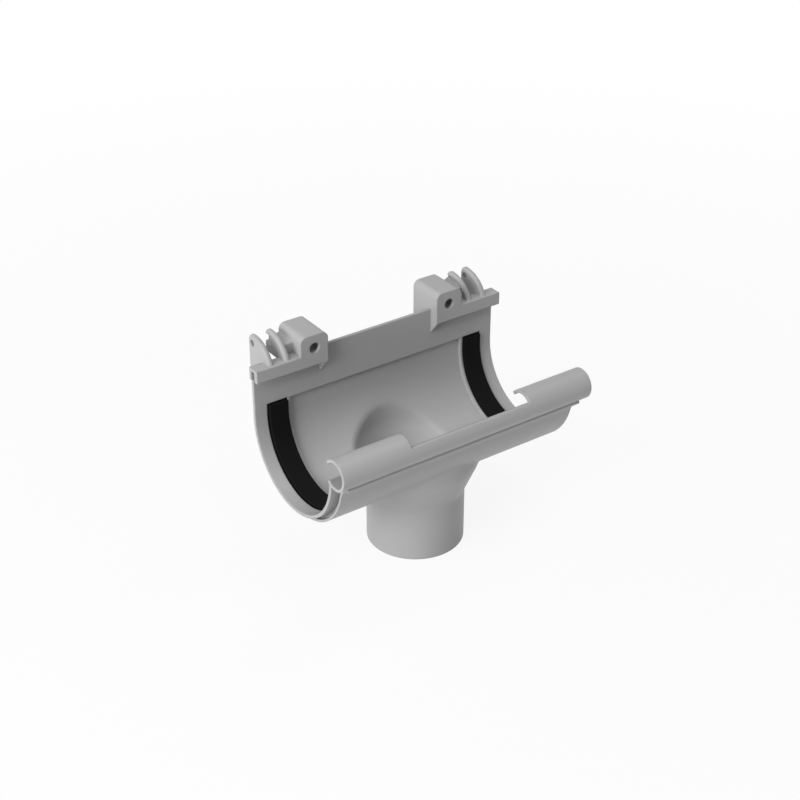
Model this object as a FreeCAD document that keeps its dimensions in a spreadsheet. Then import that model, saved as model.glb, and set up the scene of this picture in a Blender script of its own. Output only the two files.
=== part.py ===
import FreeCAD, Part
import os

os.makedirs("parts", exist_ok=True)
doc = FreeCAD.newDocument("gutter_outlet")

# Driving sizes in millimetres. X runs along the gutter, -Y is the rolled front edge, +Y the fascia.
# The origin is the centre of the spigot's lower end and Z is up.
SIZES = {
    "spigot_radius": 40.0,
    "spigot_wall": 3.0,
    "collar_drop": 44.8,
    "funnel_rise": 30.0,
    "axis_height": 122.0,
    "liner_radius": 52.5,
    "liner_wall": 2.6,
    "liner_half": 115.0,
    "recess_depth": 3.0,
    "skin_wall": 3.0,
    "skin_inset": 5.5,
    "apron_shift": 2.6,
    "land_width": 2.2,
    "recess_rise": 9.5,
    "boss_rise": 13.0,
    "rim_rise": 46.0,
    "flare_radius": 20.0,
    "flare_angle": 14.0,
    "flare_rise": 11.75,
    "ridge_reach": 11.0,
    "ridge_radius": 1.6,
    "shell_wall": 2.0,
    "shell_pocket": 4.0,
    "shell_sweep": 75.0,
    "roll_radius": 12.7,
    "roll_wall": 2.5,
    "roll_reach": 9.5,
    "roll_rise": 10.0,
    "roll_open_angle": 35.0,
    "roll_sweep": 280.0,
    "roll_length": 61.0,
    "roll_proud": 1.5,
    "lip_rise": 6.5,
    "seal_inset": 10.8,
    "seal_width": 18.6,
    "seal_depth": 3.5,
    "seal_rise": 10.0,
    "seal_front_drop": 6.0,
    "seal_gap": 0.3,
    "seal_proud": 1.0,
    "rail_length": 64.3,
    "rail_depth": 8.5,
    "rail_lip": 4.0,
    "rail_drop": 10.5,
    "rail_top_wall": 2.6,
    "gusset_wall": 3.0,
    "gusset_drop": 24.8,
    "block_width": 24.8,
    "block_back": 18.0,
    "block_drop": 18.0,
    "block_rise": 16.2,
    "block_wall": 2.8,
    "block_corner": 5.5,
    "screw_hole_radius": 4.4,
    "screw_rise": 4.9,
    "plate_wall": 5.0,
    "rib_gap": 8.0,
    "clip_gap": 9.6,
    "plate_inset": 0.5,
    "plate_corner": 5.0,
    "plate_arc": 27.0,
    "plate_rise": 16.5,
    "plate_bevel": 1.5,
    "ear_drop": 17.0,
    "pin_radius": 2.7,
    "pin_inset": 6.1,
    "pin_drop": 6.5,
    "notch_radius": 3.0,
    "notch_flare": 1.6,
    "web_length": 18.5,
    "web_inset": 2.5,
    "web_drop": 2.2,
    "web_dip": 6.4,
    "web_sink": 2.4,
    "mouth_round": 7.0,
    "collar_round": 30.0,
    "neck_round": 12.0,
    "root_round": 4.0,
    "cut_past": 10.0,
}

# Trough: its walls measured out from the gutter's own radius, its heights from the trough's axis.
RECESS_RADIUS = "(liner_radius + recess_depth)"
SKIN_RADIUS = "(liner_radius + recess_depth + skin_wall)"
LINER_OUTSIDE = "(liner_radius + liner_wall)"
AXIS = "axis_height"
RIM = "(axis_height + rim_rise)"
FLARE_FOOT = f"(axis_height - {SKIN_RADIUS} * sin(flare_angle))"

# Funnel: it opens from the spigot to the gutter's own radius, at heights set from the trough's axis.
NECK = "(axis_height - collar_drop - funnel_rise)"
COLLAR = "(axis_height - collar_drop)"
COLLAR_RADIUS = "liner_radius"
COLLAR_TOP = f"{AXIS} - sqrt({RECESS_RADIUS} ^ 2 - {COLLAR_RADIUS} ^ 2)"

# Ends: the seals and the lands beside them are set in from the liner's end, and the roll and the rail
# stand proud of it.
ROLL_END = "(liner_half + roll_proud)"
SEAL_OUTER = "(liner_half - seal_inset)"
SEAL_INNER = "(liner_half - seal_inset - seal_width)"
RECESS_END = "(liner_half - seal_inset - seal_width - land_width)"
RAIL_START = "(liner_half + roll_proud - rail_length)"
ROLL_START = "(liner_half + roll_proud - roll_length)"

# Rolled edge: its centre in front of the trough's wall and above the trough's axis.
ROLL_FRONT = "(liner_radius + roll_reach)"
ROLL_HEIGHT = "(axis_height + roll_rise)"

# Lugs: the block, then the rib across a gap, then the ear across the clip's gap.
RAIL_FRONT = "(liner_radius - rail_depth)"
RAIL_FOOT = "(axis_height + rim_rise - rail_drop)"
SLOT_TOP = "(axis_height + rim_rise - rail_top_wall)"
GUSSET_FOOT = "(axis_height + rim_rise - gusset_drop)"
BLOCK_SIDE = "(liner_half + roll_proud - rail_length + block_width)"
BLOCK_BACK = f"({SKIN_RADIUS} + block_back)"
BLOCK_FLOOR = "(axis_height + rim_rise - block_drop)"
BLOCK_TOP = "(axis_height + rim_rise + block_rise)"
RIB = f"({BLOCK_SIDE} + rib_gap)"
EAR = f"({RIB} + plate_wall + clip_gap)"
PLATE_BACK = f"({BLOCK_BACK} - plate_inset)"
PLATE_CREST = f"({PLATE_BACK} - plate_corner)"
PLATE_TOP = "(axis_height + rim_rise + plate_rise)"
PIN_BACK = f"({PLATE_BACK} - pin_inset)"
PIN_HEIGHT = f"({PLATE_TOP} - pin_drop)"

# Seals: a rubber strip that starts behind the trough above its axis and ends short of the axis in front.
SEAL_SEAT = "(liner_radius + seal_depth)"
SEAL_TOP = "(axis_height + seal_rise)"
SEAL_FRONT_TOP = "(axis_height - seal_front_drop)"

# How far apart two places may lie and still count as the same one when edges are picked for rounding.
NEAR = 0.1

sheet = doc.addObject("Spreadsheet::Sheet", "Sizes")
for row, (name, value) in enumerate(SIZES.items(), start=1):
    sheet.set(f"A{row}", name)
    sheet.set(f"B{row}", str(value))
    sheet.setAlias(f"B{row}", name)
doc.recompute()

ALONG = FreeCAD.Vector(1, 0, 0)
FRONT = FreeCAD.Vector(0, -1, 0)
REAR = FreeCAD.Vector(0, 1, 0)
UP = FreeCAD.Vector(0, 0, 1)
DOWN = FreeCAD.Vector(0, 0, -1)
# Local axes of a cylinder that lies along the gutter, its sweep starting at the front and passing below.
ALONG_BELOW = FreeCAD.Rotation(FRONT, DOWN, ALONG, "ZXY")
# The same, its sweep starting at the rear and passing above.
ALONG_ABOVE = FreeCAD.Rotation(REAR, UP, ALONG, "ZXY")
# Local axes of a cylinder that points at the fascia.
TO_FASCIA = FreeCAD.Rotation(ALONG, -90)


def sized(text):
    """The formula with each driving size pointed at its cell."""
    words = []
    word = ""
    for letter in text + " ":
        if letter.isalnum() or letter == "_":
            word += letter
            continue
        words.append("Sizes." + word if word in SIZES else word)
        words.append(letter)
        word = ""
    return "".join(words).strip()


def bind(item, **formulas):
    """Ties properties to formulas of the driving sizes; x, y and z are the place."""
    for name, formula in formulas.items():
        path = "Placement.Base." + name if name in ("x", "y", "z") else name
        item.setExpression(path, sized(formula))
    return item


def box(name, x, y, z):
    """A block between two formulas along each axis."""
    item = doc.addObject("Part::Box", name)
    bind(item, x=x[0], y=y[0], z=z[0])
    bind(item, Length=f"({x[1]}) - ({x[0]})", Width=f"({y[1]}) - ({y[0]})")
    return bind(item, Height=f"({z[1]}) - ({z[0]})")


def rod(name, x, radius, y, z, angle="360", turn=ALONG_BELOW):
    """A cylinder along the gutter between two formulas of x, or the part of one that the angle sweeps."""
    item = doc.addObject("Part::Cylinder", name)
    item.Placement = FreeCAD.Placement(FreeCAD.Vector(0, 0, 0), turn)
    return bind(item, x=x[0], y=y, z=z, Radius=radius, Height=f"({x[1]}) - ({x[0]})", Angle=angle)


def drill(name, radius, x, y, z):
    """A cylinder square to the fascia between two formulas of y."""
    item = doc.addObject("Part::Cylinder", name)
    item.Placement = FreeCAD.Placement(FreeCAD.Vector(0, 0, 0), TO_FASCIA)
    return bind(item, Radius=radius, x=x, y=y[0], z=z, Height=f"({y[1]}) - ({y[0]})")


def post(name, radius, z):
    """An upright cylinder about the spigot's axis."""
    item = doc.addObject("Part::Cylinder", name)
    return bind(item, Radius=radius, z=z[0], Height=f"({z[1]}) - ({z[0]})")


def cone(name, low_radius, high_radius, z):
    """An upright cone about the spigot's axis."""
    item = doc.addObject("Part::Cone", name)
    return bind(item, Radius1=low_radius, Radius2=high_radius, z=z[0], Height=f"({z[1]}) - ({z[0]})")


def fuse(name, *items):
    """One solid from several that overlap."""
    item = doc.addObject("Part::MultiFuse", name)
    item.Shapes = list(items)
    item.Refine = True
    return item


def cut(name, base, *tools):
    """The base less the tools."""
    tool = tools[0] if len(tools) == 1 else fuse(name + "_tools", *tools)
    item = doc.addObject("Part::Cut", name)
    item.Base = base
    item.Tool = tool
    item.Refine = True
    return item


def both(reach):
    """A span that reaches equally far each way from the middle of the outlet."""
    return "-(" + reach + ")", reach


LINER = both("liner_half")
ROLL = both(ROLL_END)
SKIN = both("liner_half - skin_inset")
RECESS = both(RECESS_END)
PAST_ENDS = both(ROLL_END + " + cut_past")


def trough_blank():
    """The filled trough: end liner, thicker skin with its apron, and the rear wall up to the rim."""
    return [
        rod("liner_blank", LINER, LINER_OUTSIDE, "0", AXIS, "180"),
        box("rear_wall", LINER, ("0", LINER_OUTSIDE), (AXIS, RIM)),
        rod("skin_blank", SKIN, SKIN_RADIUS, "0", AXIS, "180"),
        rod("apron_blank", SKIN, SKIN_RADIUS, "-apron_shift", AXIS, "180"),
        box("apron_joint", SKIN, ("-apron_shift", "0"), (f"{AXIS} - {SKIN_RADIUS}", AXIS)),
        box("rear_boss", SKIN, ("0", SKIN_RADIUS), (AXIS, f"{AXIS} + boss_rise")),
    ]


def flare():
    """The top of the apron, bending outwards to the ridge under the rolled edge."""
    swing = f"({SKIN_RADIUS} + flare_radius)"
    block = box("flare_block", SKIN, (f"-{SKIN_RADIUS} - ridge_reach", "-liner_radius"),
                (FLARE_FOOT, f"{FLARE_FOOT} + flare_rise"))
    hollow = rod("flare_hollow", PAST_ENDS, "flare_radius", f"-apron_shift - {swing} * cos(flare_angle)",
                 f"{AXIS} - {swing} * sin(flare_angle)")
    nose = rod("flare_nose", SKIN, "ridge_radius", f"-{SKIN_RADIUS} - ridge_reach + ridge_radius",
               f"{FLARE_FOOT} + flare_rise")
    return fuse("flare", cut("flare_web", block, hollow), nose)


def shell_pocket(side, span):
    """The shallow space at one end of the outlet between the liner and the apron's thin shell."""
    shell = rod(f"shell_{side}_inside", span, f"{SKIN_RADIUS} - shell_wall", "-apron_shift", AXIS,
                "shell_sweep")
    return cut(f"shell_{side}_pocket", shell, rod(f"shell_{side}_liner", span, LINER_OUTSIDE, "0", AXIS))


def round_edges(name, base, radius, wanted, kind="Part::Fillet"):
    """The base with the edges that the test picks rounded, or else bevelled, to the named driving size."""
    doc.recompute()
    item = doc.addObject(kind, name)
    item.Base = base
    size = SIZES[radius]
    edges = enumerate(base.Shape.Edges, start=1)
    item.Edges = [(number, size, size) for number, edge in edges if wanted(edge)]
    return item


def level(name):
    """A test for a full ring at the height of the funnel's neck or of its collar."""
    collar = SIZES["axis_height"] - SIZES["collar_drop"]
    heights = {"neck": collar - SIZES["funnel_rise"], "collar": collar}

    def wanted(edge):
        extent = edge.BoundBox
        return extent.ZLength < NEAR and abs(extent.ZMin - heights[name]) < NEAR

    return wanted


def funnel(name, wall, bottom):
    """The spigot, its cone and the collar that runs into the trough as one round solid, less the wall."""
    spigot = f"spigot_radius - {wall}"
    collar = f"{COLLAR_RADIUS} - {wall}"
    stack = fuse(name + "_stack", post(name + "_spigot", spigot, (bottom, NECK)),
                 cone(name + "_cone", spigot, collar, (NECK, COLLAR)),
                 post(name + "_collar", collar, (COLLAR, COLLAR_TOP)))
    return round_edges(name, stack, "collar_round", level("collar"))


def trough_bore():
    """The inside of the trough, with the deeper floor between the two lands."""
    return [
        rod("liner_bore", PAST_ENDS, "liner_radius", "0", AXIS, "180"),
        box("open_top", PAST_ENDS, (f"-{SKIN_RADIUS} - cut_past", "liner_radius"),
            (AXIS, f"{RIM} + cut_past")),
        rod("recess_bore", RECESS, RECESS_RADIUS, "0", AXIS, "180"),
        box("recess_rear", RECESS, ("0", RECESS_RADIUS), (AXIS, f"{AXIS} + recess_rise")),
    ]


def seal_seat(side, span):
    """The groove that takes one rubber seal."""
    sweep = rod(f"seat_{side}_blank", span, SEAL_SEAT, "0", AXIS, "180")
    front = box(f"seat_{side}_front", span, (f"-{SKIN_RADIUS}", "0"), (SEAL_FRONT_TOP, AXIS))
    rear = box(f"seat_{side}_rear", span, ("0", SEAL_SEAT), (AXIS, SEAL_TOP))
    return [cut(f"seat_{side}_round", sweep, front), rear]


def seal(side, span):
    """A rubber strip bent round the trough, lying in its groove and a little proud of the liner."""
    outside = f"{SEAL_SEAT} - seal_gap"
    inside = "liner_radius - seal_proud"
    past = (f"{span[0]} - seal_width", f"{span[1]} + seal_width")
    blank = fuse(f"seal_{side}_blank", rod(f"seal_{side}_round", span, outside, "0", AXIS, "180"),
                 box(f"seal_{side}_rise", span, ("0", outside), (AXIS, SEAL_TOP)))
    return cut(f"seal_{side}", blank, rod(f"seal_{side}_bore", past, inside, "0", AXIS, "180"),
               box(f"seal_{side}_open", past, (f"-{SKIN_RADIUS}", inside), (AXIS, RIM)),
               box(f"seal_{side}_front", past, (f"-{SKIN_RADIUS}", "0"), (SEAL_FRONT_TOP, RIM)))


def rolled_edge():
    """The rolled front edge: an open tube at each end and a low lip between the two."""
    turn = FreeCAD.Rotation(ALONG, SIZES["roll_open_angle"]).multiply(ALONG_ABOVE)
    tube = rod("roll_blank", ROLL, "roll_radius", f"-{ROLL_FRONT}", ROLL_HEIGHT, "roll_sweep", turn)
    bore = rod("roll_bore", PAST_ENDS, "roll_radius - roll_wall", f"-{ROLL_FRONT}", ROLL_HEIGHT)
    middle = both(ROLL_START)
    gap = box("roll_gap", middle, (f"-{ROLL_FRONT} - cut_past - roll_radius", "0"),
              (f"{ROLL_HEIGHT} + lip_rise", RIM))
    rear_gap = box("roll_rear_gap", middle, (f"-{ROLL_FRONT}", "0"), (ROLL_HEIGHT, RIM))
    return cut("rolled_edge", tube, bore, gap, rear_gap)


def hook_rail():
    """The rail along the rim that the gutter's rear edge hooks under, with the fascia screw's block."""
    rail = box("rail_blank", (RAIL_START, ROLL_END), (RAIL_FRONT, LINER_OUTSIDE), (RAIL_FOOT, RIM))
    span = (RAIL_START, BLOCK_SIDE)
    blank = box("block_blank", span, (RAIL_FRONT, BLOCK_BACK), (BLOCK_FLOOR, BLOCK_TOP))
    under = box("block_under", span, (RAIL_FRONT, "liner_radius"), (BLOCK_FLOOR, RAIL_FOOT))
    block = round_edges("block_rounded", cut("block", blank, under), "block_corner", is_block_shoulder)
    inner = (f"{RAIL_START} + block_wall", f"{BLOCK_SIDE} - block_wall")
    back = f"{BLOCK_BACK} + cut_past"
    over = box("block_hollow", inner, (f"{RAIL_FRONT} + block_wall", back),
               (RIM, f"{BLOCK_TOP} - block_wall"))
    behind = box("block_hollow_behind", inner, (f"{SKIN_RADIUS} + block_wall", back),
                 (f"{BLOCK_FLOOR} + block_wall", RIM))
    screw = drill("screw_hole", "screw_hole_radius", f"{RAIL_START} + block_width / 2",
                  (f"{RAIL_FRONT} - cut_past", f"{RAIL_FRONT} + 2 * block_wall"), f"{RIM} + screw_rise")
    slot = box("rail_slot", (RAIL_START, f"{ROLL_END} + cut_past"),
               (f"{RAIL_FRONT} + rail_lip", "liner_radius"), (GUSSET_FOOT, SLOT_TOP))
    return cut("hooked_rail", fuse("rail_and_block", rail, block), over, behind, screw, slot)


def is_block_shoulder(edge):
    """True for the two top edges of the screw block that run from its front to its back."""
    top = SIZES["axis_height"] + SIZES["rim_rise"] + SIZES["block_rise"]
    extent = edge.BoundBox
    return abs(extent.ZMin - top) < NEAR and extent.ZLength < NEAR and extent.XLength < NEAR


def gusset():
    """The sloping web that closes the inner end of the rail."""
    slope = doc.addObject("Part::Wedge", "gusset")
    bind(slope, x=RAIL_START, y=RAIL_FRONT, z=GUSSET_FOOT, Ymin="0", Ymax="rail_depth + liner_wall")
    bind(slope, Xmin="0", Xmax="gusset_wall", Zmin="gusset_drop - rail_drop", Zmax="gusset_drop")
    return bind(slope, X2min="0", X2max="gusset_wall", Z2min="0", Z2max="gusset_drop")


def hinge_plate(name, place, *foot):
    """An upright plate on the rail: its edge sweeps up from the front and turns down at the fascia."""
    span = (place, f"{place} + plate_wall")
    front = doc.addObject("Part::MultiCommon", name + "_front")
    front.Shapes = [
        rod(name + "_arc", span, "plate_arc", PLATE_CREST, f"{PLATE_TOP} - plate_arc"),
        box(name + "_arc_quarter", span, (RAIL_FRONT, PLATE_CREST), (SLOT_TOP, PLATE_TOP)),
    ]
    corner = f"{PLATE_TOP} - plate_corner"
    sharp = fuse(name + "_sharp", front, rod(name + "_corner", span, "plate_corner", PLATE_CREST, corner),
                 box(name + "_back", span, (PLATE_CREST, PLATE_BACK), (SLOT_TOP, corner)), *foot)
    return round_edges(name, sharp, "plate_bevel", is_plate_edge, "Part::Chamfer")


def is_plate_edge(edge):
    """True for the edges that sweep round a hinge plate from its foot in front to its foot behind."""
    return edge.BoundBox.XLength < NEAR and edge.BoundBox.ZLength > NEAR


def hinge():
    """The outer plate with its pin hole, and the inner one with the pin's notch and a web to the block."""
    tail = box("ear_tail", (EAR, f"{EAR} + plate_wall"), ("liner_radius", PLATE_BACK),
               (f"{RIM} - ear_drop", RIM))
    ear_past = (f"{EAR} - plate_wall", f"{EAR} + 2 * plate_wall")
    ear = cut("ear", hinge_plate("ear_blank", EAR, tail),
              rod("ear_hole", ear_past, "pin_radius", PIN_BACK, PIN_HEIGHT))
    rib_past = (f"{RIB} - plate_wall", f"{RIB} + 2 * plate_wall")
    notch_mouth = doc.addObject("Part::Wedge", "rib_notch_mouth")
    bind(notch_mouth, x=rib_past[0], y=PIN_BACK, z=PIN_HEIGHT, Ymin="0", Ymax="2 * pin_inset")
    bind(notch_mouth, Xmin="0", Xmax="3 * plate_wall", Zmin="-notch_radius", Zmax="notch_radius")
    bind(notch_mouth, X2min="0", X2max="3 * plate_wall", Z2min="-notch_radius - 2 * notch_flare",
         Z2max="notch_radius")
    rib = cut("rib", hinge_plate("rib_blank", RIB),
              rod("rib_notch", rib_past, "notch_radius", PIN_BACK, PIN_HEIGHT), notch_mouth)
    web_back = f"{BLOCK_BACK} - web_inset"
    web_span = (f"{BLOCK_SIDE} - block_wall", f"{RIB} + plate_wall / 2")
    web = doc.addObject("Part::MultiCommon", "saddle_web")
    web.Shapes = [
        box("saddle_blank", web_span, (f"{web_back} - web_length", web_back),
            (SLOT_TOP, f"{BLOCK_TOP} - web_drop")),
        rod("saddle_arc", web_span, "plate_arc - web_sink", PLATE_CREST, f"{PLATE_TOP} - plate_arc"),
    ]
    dip = drill("saddle_dip", "web_dip", f"{BLOCK_SIDE} + rib_gap / 2", (RAIL_FRONT, BLOCK_BACK), BLOCK_TOP)
    return [ear, rib, cut("saddle", web, dip)]


def mirrored(item):
    """The same shape on the other side of the middle of the outlet."""
    twin = doc.addObject("Part::Mirroring", item.Name + "_mirrored")
    twin.Source = item
    twin.Normal = ALONG
    return twin


def trough_distance(edge):
    """How far the middle of an edge is from the trough's axis, and from the spigot's."""
    middle = edge.valueAt((edge.FirstParameter + edge.LastParameter) / 2)
    from_trough = FreeCAD.Vector(0, middle.y, middle.z - SIZES["axis_height"]).Length
    from_spigot = FreeCAD.Vector(middle.x, middle.y, 0).Length
    return from_trough, from_spigot


def is_mouth(edge):
    """True where the waterway breaks through the trough's floor."""
    from_trough, from_spigot = trough_distance(edge)
    recess = SIZES["liner_radius"] + SIZES["recess_depth"]
    bends = edge.BoundBox.ZLength > NEAR
    return abs(from_trough - recess) < NEAR and from_spigot < SIZES["liner_radius"] and bends


def is_root(edge):
    """True where the outside of the funnel meets the trough's skin and its apron."""
    from_trough, from_spigot = trough_distance(edge)
    skin = SIZES["liner_radius"] + SIZES["recess_depth"] + SIZES["skin_wall"]
    on_skin = skin - NEAR < from_trough < skin + SIZES["apron_shift"] + NEAR
    return on_skin and SIZES["spigot_radius"] < from_spigot < SIZES["liner_radius"] + NEAR


def outlet_body():
    """The single moulding."""
    lug = fuse("lug", hook_rail(), gusset(), *hinge())
    outside = round_edges("necked_funnel", funnel("funnel", "0", "0"), "neck_round", level("neck"))
    blank = fuse("filled", *trough_blank(), flare(), outside)
    right = (SEAL_INNER, SEAL_OUTER)
    left = ("-" + SEAL_OUTER, "-" + SEAL_INNER)
    waterway = funnel("waterway", "spigot_wall", "-cut_past")
    seats = seal_seat("left", left) + seal_seat("right", right)
    shell_end = "liner_half - skin_inset"
    pockets = [
        shell_pocket("left", (f"-{ROLL_END} - cut_past", f"shell_pocket - ({shell_end})")),
        shell_pocket("right", (f"{shell_end} - shell_pocket", f"{ROLL_END} + cut_past")),
    ]
    hollow = cut("hollowed", blank, waterway, *trough_bore(), *seats, *pockets)
    mouth = round_edges("mouthed", hollow, "mouth_round", is_mouth)
    root = round_edges("rooted", mouth, "root_round", is_root)
    roll_room = rod("roll_room", PAST_ENDS, "roll_radius - roll_wall", f"-{ROLL_FRONT}", ROLL_HEIGHT)
    body = fuse("outlet_body", cut("fronted", root, roll_room), rolled_edge(), lug, mirrored(lug))
    return [body, seal("left", left), seal("right", right)]


nodes = outlet_body()
doc.recompute()
for item in doc.Objects:
    if "Invalid" in item.State or "Error" in item.State:
        raise RuntimeError(item.Name + " did not build: " + str(item.State))
for item in nodes:
    item.Label = item.Name
    if item.Shape.isNull() or not item.Shape.isValid() or len(item.Shape.Solids) != 1:
        raise RuntimeError(item.Name + " is not one sound solid")
    item.Shape.exportStep("parts/" + item.Label + ".step")
    print(item.Label, "volume", round(item.Shape.Volume / 1000, 1), "cm3", item.Shape.BoundBox)
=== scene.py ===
import math

import bpy
import numpy as np
from mathutils import Matrix, Vector


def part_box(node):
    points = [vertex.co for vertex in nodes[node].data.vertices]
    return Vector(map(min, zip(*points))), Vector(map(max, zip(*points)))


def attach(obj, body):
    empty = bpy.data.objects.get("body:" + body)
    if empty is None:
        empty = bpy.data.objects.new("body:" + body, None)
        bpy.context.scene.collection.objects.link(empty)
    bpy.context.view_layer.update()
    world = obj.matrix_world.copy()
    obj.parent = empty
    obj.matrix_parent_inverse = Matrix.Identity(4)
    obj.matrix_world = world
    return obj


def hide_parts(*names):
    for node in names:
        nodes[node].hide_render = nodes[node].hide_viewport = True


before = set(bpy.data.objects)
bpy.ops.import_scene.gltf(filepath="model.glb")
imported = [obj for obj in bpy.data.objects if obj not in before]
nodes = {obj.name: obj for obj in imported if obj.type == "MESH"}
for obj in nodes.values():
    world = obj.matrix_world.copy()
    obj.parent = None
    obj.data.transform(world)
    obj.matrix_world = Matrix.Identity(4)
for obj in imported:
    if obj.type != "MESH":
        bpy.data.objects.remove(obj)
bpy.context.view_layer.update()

# Outlet body: one injection moulding in mid-grey uPVC that carries the trough, the rolled front edge,
# the hook rail with its screw blocks and hinge plates, and the spigot. The mould leaves a satin skin
# with a fine grain, faint clouds in the pigment and soft corners, softest in the mouth of the funnel.

CLOUD_GREYS = (0.372, 0.402)
CLOUD_SCALE = 24.0
CLOUD_DETAIL = 5.0
CLOUD_ROUGHNESS = 0.55
SATIN_ROUGHNESS = (0.40, 0.47)
SATIN_GLOSS = 0.35
CORNER_RADIUS = 0.0013
CORNER_SAMPLES = 8
MOUTH_RADIUS = 0.012
MOUTH_MIDDLE = (0.0, 0.0, 0.100)
MOUTH_REACH = (0.052, 0.057)
GRAIN_SCALE = 2600.0
GRAIN_DETAIL = 2.0
GRAIN_STRENGTH = 0.35
GRAIN_DEPTH = 0.00003


def new_material(name):
    """An empty node material: itself, the link call, its Principled shader and a call that adds a node."""
    material = bpy.data.materials.new(name)
    material.use_nodes = True
    tree = material.node_tree

    def add(kind, **values):
        """A node of that kind with its inputs, or else its properties, set by name."""
        node = tree.nodes.new(kind)
        for key, value in values.items():
            if key in node.inputs:
                node.inputs[key].default_value = value
            else:
                setattr(node, key, value)
        return node

    return material, tree.links.new, tree.nodes["Principled BSDF"], add


def noise(add, link, **values):
    """The share from 0 to 1 of a noise pattern on the object's own coordinates."""
    place = add("ShaderNodeTexCoord")
    pattern = add("ShaderNodeTexNoise", **values)
    link(place.outputs["Object"], pattern.inputs["Vector"])
    return pattern.outputs["Fac"]


def two_greys(add, link, share, greys):
    """A colour that goes from the first grey to the second with the share."""
    mix = add("ShaderNodeMix", data_type="RGBA")
    for socket, grey in zip((6, 7), greys):
        mix.inputs[socket].default_value = (grey, grey, grey, 1.0)
    link(share, mix.inputs[0])
    return mix.outputs[2]


def carried_over(add, link, value, span, result):
    """The value, carried in a straight line from its span to the result's span and held at both ends."""
    carry = add("ShaderNodeMapRange")
    for socket, number in zip(("From Min", "From Max", "To Min", "To Max"), span + result):
        carry.inputs[socket].default_value = number
    link(value, carry.inputs["Value"])
    return carry.outputs["Result"]


def moulded_grey():
    """Satin grey plastic: pigment clouds, a fine mould grain, and corners that catch the light.

    The corners' radius is the mouth's within the mouth's reach of its middle, and falls to the
    common radius beyond it.
    """
    material, link, shader, add = new_material("moulded_grey_upvc")
    clouds = noise(add, link, Scale=CLOUD_SCALE, Detail=CLOUD_DETAIL, Roughness=CLOUD_ROUGHNESS)
    link(two_greys(add, link, clouds, CLOUD_GREYS), shader.inputs["Base Color"])
    link(carried_over(add, link, clouds, (0.0, 1.0), SATIN_ROUGHNESS), shader.inputs["Roughness"])
    shader.inputs["Specular IOR Level"].default_value = SATIN_GLOSS
    place = add("ShaderNodeTexCoord")
    from_mouth = add("ShaderNodeVectorMath", operation="DISTANCE")
    from_mouth.inputs[1].default_value = MOUTH_MIDDLE
    link(place.outputs["Object"], from_mouth.inputs[0])
    corner = add("ShaderNodeBevel", samples=CORNER_SAMPLES)
    radii = (MOUTH_RADIUS, CORNER_RADIUS)
    link(carried_over(add, link, from_mouth.outputs["Value"], MOUTH_REACH, radii), corner.inputs["Radius"])
    bump = add("ShaderNodeBump", Strength=GRAIN_STRENGTH, Distance=GRAIN_DEPTH)
    link(noise(add, link, Scale=GRAIN_SCALE, Detail=GRAIN_DETAIL), bump.inputs["Height"])
    link(corner.outputs["Normal"], bump.inputs["Normal"])
    link(bump.outputs["Normal"], shader.inputs["Normal"])
    return material


body = nodes["outlet_body"]
body.data.materials.clear()
body.data.materials.append(moulded_grey())

# Rubber seals: a black EPDM strip bent round each end of the trough and glued into its own groove, which
# its thin foot fills. The raised face grips the gutter and has faint ribs along its length. The strip is
# cut with rounded corners, and all its edges are soft.

TROUGH_AXIS = 0.122
SEAL_INSIDE = 0.0502
SEAL_OUTSIDE = 0.0557
SEAL_FRONT_DROP = 0.006
SEAL_END_GAP = 0.0013
SEAL_MIDDLE_GAP = 0.0003
SEAL_EDGE = 0.0008
SEAL_CORNER = 0.0016
FOOT_INSIDE = 0.0532
FOOT_GAP = 0.0001
RIBS = 5
RIB_DEPTH = 0.00004
RIB_STEPS = 60
BACK_STEP = 15
EDGE_STEPS = 6
CORNER_STEPS = 12
LENGTH_STEPS = 150
RUBBER_GREYS = (0.0060, 0.0092)
RUBBER_ROUGHNESS = 0.75
RUBBER_GLOSS = 0.05
SKIN_SCALE = 900.0
SKIN_DETAIL = 3.0
SKIN_STRENGTH = 0.5
SKIN_DEPTH = 0.00005


def black_rubber():
    """Matt black rubber with a slightly uneven skin."""
    material, link, shader, add = new_material("black_epdm_rubber")
    skin = noise(add, link, Scale=SKIN_SCALE, Detail=SKIN_DETAIL)
    link(two_greys(add, link, skin, RUBBER_GREYS), shader.inputs["Base Color"])
    shader.inputs["Roughness"].default_value = RUBBER_ROUGHNESS
    shader.inputs["Specular IOR Level"].default_value = RUBBER_GLOSS
    bump = add("ShaderNodeBump", Strength=SKIN_STRENGTH, Distance=SKIN_DEPTH)
    link(skin, bump.inputs["Height"])
    link(bump.outputs["Normal"], shader.inputs["Normal"])
    return material


def section_loop():
    """The strip's section as one loop of shares: across, its edge's turn, inner or outer side, and rib.

    A point lies at u times the half width less the edge radius, plus that radius times the turn's
    cosine. Outwards it lies an edge radius in from its side, plus the radius times the turn's sine.
    A rib is half a unit less half a cosine, so that it starts and ends level. Each run of the loop
    gives its places across, its angle, whether it turns, and its side.
    """
    quarter = math.pi / 2
    face = np.linspace(-1, 1, RIB_STEPS)[1:-1]
    turn = np.linspace(0, quarter, EDGE_STEPS)
    runs = ((face, -quarter, 0, 0), (1, turn - quarter, 1, 0), (1, turn, 1, 1),
            (face[::-BACK_STEP], quarter, 0, 1), (-1, turn + quarter, 1, 1), (-1, turn + math.pi, 1, 0))
    across, angle, turned, outer = np.hstack([np.broadcast_arrays(*run) for run in runs])
    ribs = 0.5 - 0.5 * np.cos(math.pi * RIBS * (face + 1))
    rib = np.concatenate([ribs, np.zeros(across.size - face.size)])
    return across, turned * np.cos(angle), np.sin(angle), outer, rib


def drawn_in(distance, radius):
    """How far in a quarter round stands at a distance from its end.

    For the radius R and the distance s it is R less the root of R squared less (R - s) squared.
    """
    short = np.clip(radius - distance, 0, radius)
    return radius - np.sqrt(radius ** 2 - short ** 2)


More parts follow.
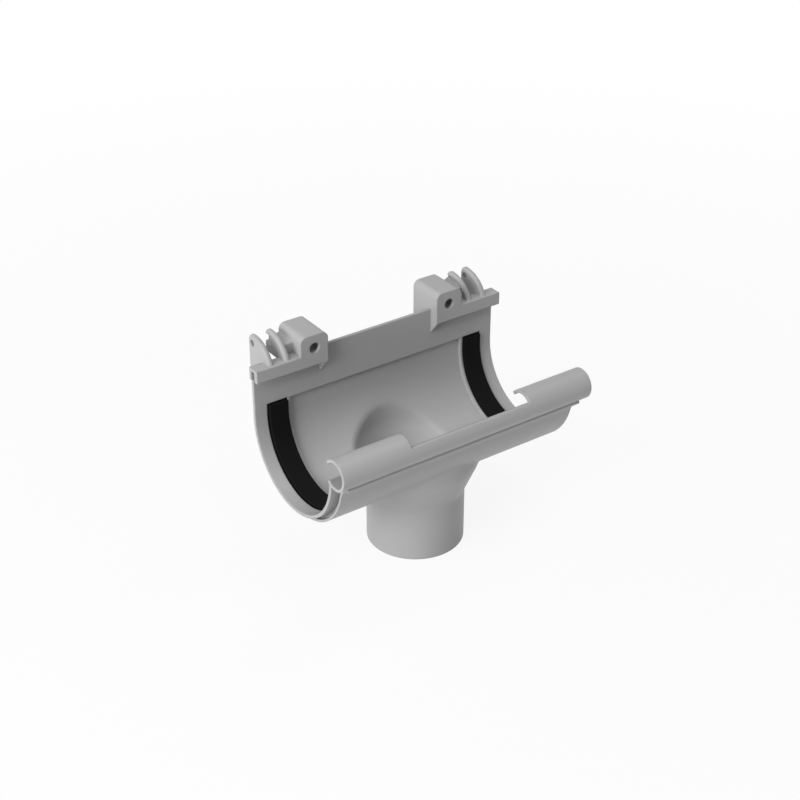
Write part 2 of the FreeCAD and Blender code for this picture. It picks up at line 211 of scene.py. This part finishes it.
def seal_points(sides, top, inside):
    """The strip carried down behind the trough and round it to the front, one ring of points a step.

    Along the straight, height falls from the top to the trough's axis. On the arc, the angle runs from
    the rear to the place in front where the strip ends level, a set drop below the axis. At both ends
    the width narrows by the corner's quarter round and the thickness by the edge's.
    """
    middle, width = sum(sides) / 2, sides[1] - sides[0]
    straight = top - TROUGH_AXIS
    length = straight + SEAL_OUTSIDE * math.pi
    ease = SEAL_CORNER * (1 - np.cos(np.linspace(0, math.pi / 2, CORNER_STEPS)))
    middle_steps = np.linspace(SEAL_CORNER, length - SEAL_CORNER, LENGTH_STEPS)[1:-1]
    step = np.concatenate([ease, middle_steps, length - ease[::-1]])[:, None]
    from_end = np.minimum(step, length - step)
    across, cosine, sine, outer, rib = section_loop()
    half = width / 2 - drawn_in(from_end, SEAL_CORNER)
    thin = drawn_in(from_end, SEAL_EDGE)
    low = inside + thin + SEAL_EDGE
    high = SEAL_OUTSIDE - thin - SEAL_EDGE
    radius = low + (high - low) * outer + SEAL_EDGE * sine + RIB_DEPTH * rib
    end = math.pi - np.arcsin(SEAL_FRONT_DROP / radius)
    angle = np.clip((step - straight) / (length - straight), 0, 1) * end
    x = middle + across * (half - SEAL_EDGE) + SEAL_EDGE * cosine
    y = radius * np.cos(angle)
    z = TROUGH_AXIS - radius * np.sin(angle) + np.clip(straight - step, 0, None)
    return np.stack([x, y, z], 2)


def ring_faces(rings, around):
    """Quads between neighbouring rings of points, and one polygon over each end ring."""
    loop = np.arange(around)
    after = (loop + 1) % around
    base = (np.arange(rings - 1) * around)[:, None]
    quads = np.stack([base + loop, base + around + loop, base + around + after, base + after], 2)
    return quads.reshape(-1, 4).tolist() + [loop.tolist(), ((rings - 1) * around + loop[::-1]).tolist()]


def smooth_piece(name, rings, material):
    """A smooth mesh piece in metres, from its rings of points, that rides on the moulding."""
    mesh = bpy.data.meshes.new(name)
    mesh.from_pydata(rings.reshape(-1, 3).tolist(), [], ring_faces(*rings.shape[:2]))
    mesh.polygons.foreach_set("use_smooth", [True] * len(mesh.polygons))
    mesh.materials.append(material)
    piece = bpy.data.objects.new(name, mesh)
    bpy.context.scene.collection.objects.link(piece)
    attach(piece, "root")
    return piece


rubber = black_rubber()
side_gaps = {"seal_left": (SEAL_END_GAP, SEAL_MIDDLE_GAP), "seal_right": (SEAL_MIDDLE_GAP, SEAL_END_GAP)}
for node, (left_gap, right_gap) in side_gaps.items():
    low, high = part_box(node)
    rings = seal_points((low.x + left_gap, high.x - right_gap), high.z - SEAL_END_GAP, SEAL_INSIDE)
    strip = smooth_piece(node + "_strip", rings, rubber)
    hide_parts(node)
    rings = seal_points((low.x + FOOT_GAP, high.x - FOOT_GAP), high.z, FOOT_INSIDE)
    smooth_piece(node + "_foot", rings, rubber)

# Studio sweep: matt white paper laid just under the outlet. The camera sees it mostly as plain white
# light, all of it further out, and near the outlet it keeps a faint shadow. From below it is clear.

SWEEP_HALF = 6.0
SWEEP_DROP = 0.0002
SWEEP_WHITE = (0.82, 0.82, 0.82, 1.0)
SWEEP_ROUGHNESS = 0.9
SWEEP_GLOW = (0.90, 1.0)
SWEEP_FADE = (0.25, 1.2)


def white_rays(tree):
    """The output that is 1 for rays straight from the camera, or by way of gloss or glass."""
    path = tree.nodes.new("ShaderNodeLightPath")
    seen = path.outputs["Is Camera Ray"]
    for kind in ("Is Glossy Ray", "Is Transmission Ray"):
        either = tree.nodes.new("ShaderNodeMath")
        either.operation = "MAXIMUM"
        tree.links.new(seen, either.inputs[0])
        tree.links.new(path.outputs[kind], either.inputs[1])
        seen = either.outputs["Value"]
    return seen


def mixed(add, link, share, first, second):
    """The first shader where the share is 0 and the second where it is 1."""
    mix = add("ShaderNodeMixShader")
    link(share, mix.inputs["Fac"])
    link(first, mix.inputs[1])
    link(second, mix.inputs[2])
    return mix.outputs["Shader"]


def sweep_paper():
    """White paper with a glow for the camera that grows with the distance from the outlet."""
    material, link, shader, add = new_material("sweep_white")
    shader.inputs["Base Color"].default_value = SWEEP_WHITE
    shader.inputs["Roughness"].default_value = SWEEP_ROUGHNESS
    shader.inputs["Specular IOR Level"].default_value = 0.0
    place = add("ShaderNodeTexCoord")
    away = add("ShaderNodeVectorMath", operation="LENGTH")
    link(place.outputs["Object"], away.inputs[0])
    share = add("ShaderNodeMath", operation="MULTIPLY")
    link(white_rays(material.node_tree), share.inputs[0])
    link(carried_over(add, link, away.outputs["Value"], SWEEP_FADE, SWEEP_GLOW), share.inputs[1])
    glow = add("ShaderNodeEmission")
    top = mixed(add, link, share.outputs["Value"], shader.outputs["BSDF"], glow.outputs["Emission"])
    side = add("ShaderNodeNewGeometry")
    clear = add("ShaderNodeBsdfTransparent")
    paper = mixed(add, link, side.outputs["Backfacing"], top, clear.outputs["BSDF"])
    link(paper, material.node_tree.nodes["Material Output"].inputs["Surface"])
    return material


sweep_mesh = bpy.data.meshes.new("studio_sweep")
corners = [(x * SWEEP_HALF, y * SWEEP_HALF, -SWEEP_DROP) for x, y in ((-1, -1), (1, -1), (1, 1), (-1, 1))]
sweep_mesh.from_pydata(corners, [], [(0, 1, 2, 3)])
sweep_mesh.materials.append(sweep_paper())
sweep = bpy.data.objects.new("studio_sweep", sweep_mesh)
bpy.context.scene.collection.objects.link(sweep)

# Studio light: soft round lamps, most of the light low from the left, under a weak white dome that the
# camera and the gloss see as plain white. Each lamp has its place, width, watts, and whether gloss shows
# it: the two low ones would only leave glare along the trough for a camera that faces them.

DOME_LIGHT = 0.23
WHITE = (1.0, 1.0, 1.0, 1.0)
LAMP_TARGET = (0.0, 0.0, 0.1)
LAMPS = {
    "left_low": ((-1.90, -0.07, 0.72), 0.9, 15.0, False),
    "left_front_low": ((-1.79, -0.65, 0.72), 0.8, 11.3, False),
    "left_front_high": ((-1.48, -0.54, 1.33), 0.7, 9.3, True),
    "top": ((0.0, -0.07, 2.10), 0.9, 5.5, True),
    "right_top": ((0.98, 0.0, 1.80), 0.6, 4.5, True),
    "front_top": ((0.0, -1.00, 1.83), 0.8, 4.0, True),
    "rear_left_high": ((-0.57, 0.99, 1.74), 0.8, 1.5, True),
}

world = bpy.data.worlds.new("studio_world")
world.use_nodes = True
bpy.context.scene.world = world
tree = world.node_tree
dome = tree.nodes["Background"]
plain = tree.nodes.new("ShaderNodeBackground")
choose = tree.nodes.new("ShaderNodeMixShader")
dome.inputs["Color"].default_value = WHITE
dome.inputs["Strength"].default_value = DOME_LIGHT
plain.inputs["Color"].default_value = WHITE
tree.links.new(white_rays(tree), choose.inputs["Fac"])
tree.links.new(dome.outputs["Background"], choose.inputs[1])
tree.links.new(plain.outputs["Background"], choose.inputs[2])
tree.links.new(choose.outputs["Shader"], tree.nodes["World Output"].inputs["Surface"])

for name, (place, size, power, in_gloss) in LAMPS.items():
    lamp = bpy.data.lights.new(name, "AREA")
    lamp.shape = "DISK"
    lamp.size = size
    lamp.energy = power
    holder = bpy.data.objects.new(name, lamp)
    holder.visible_glossy = in_gloss
    holder.location = place
    holder.rotation_mode = "QUATERNION"
    holder.rotation_quaternion = (Vector(LAMP_TARGET) - Vector(place)).to_track_quat("-Z", "Y")
    bpy.context.scene.collection.objects.link(holder)

# Camera: it looks down at the outlet from the front left, at the angle and with the lens of the
# photograph. It stands off by a distance, and is moved sideways and up in its own picture plane.

AZIMUTH = math.radians(35.12)
ELEVATION = math.radians(30.812)
DISTANCE = 1.269215
SIDESTEP = -0.012445
LIFT = 0.107863
LENS = 68.996

level = math.cos(ELEVATION)
back = Vector((-math.sin(AZIMUTH) * level, -math.cos(AZIMUTH) * level, math.sin(ELEVATION)))
right = Vector((math.cos(AZIMUTH), -math.sin(AZIMUTH), 0.0))
up = back.cross(right)
standpoint = Matrix.Translation(back * DISTANCE + right * SIDESTEP + up * LIFT)
camera_data = bpy.data.cameras.new("camera")
camera_data.lens = LENS
camera = bpy.data.objects.new("camera", camera_data)
camera.matrix_world = standpoint @ Matrix((right, up, back)).transposed().to_4x4()
bpy.context.scene.collection.objects.link(camera)
bpy.context.scene.camera = camera
bpy.context.scene.view_settings.view_transform = "Standard"
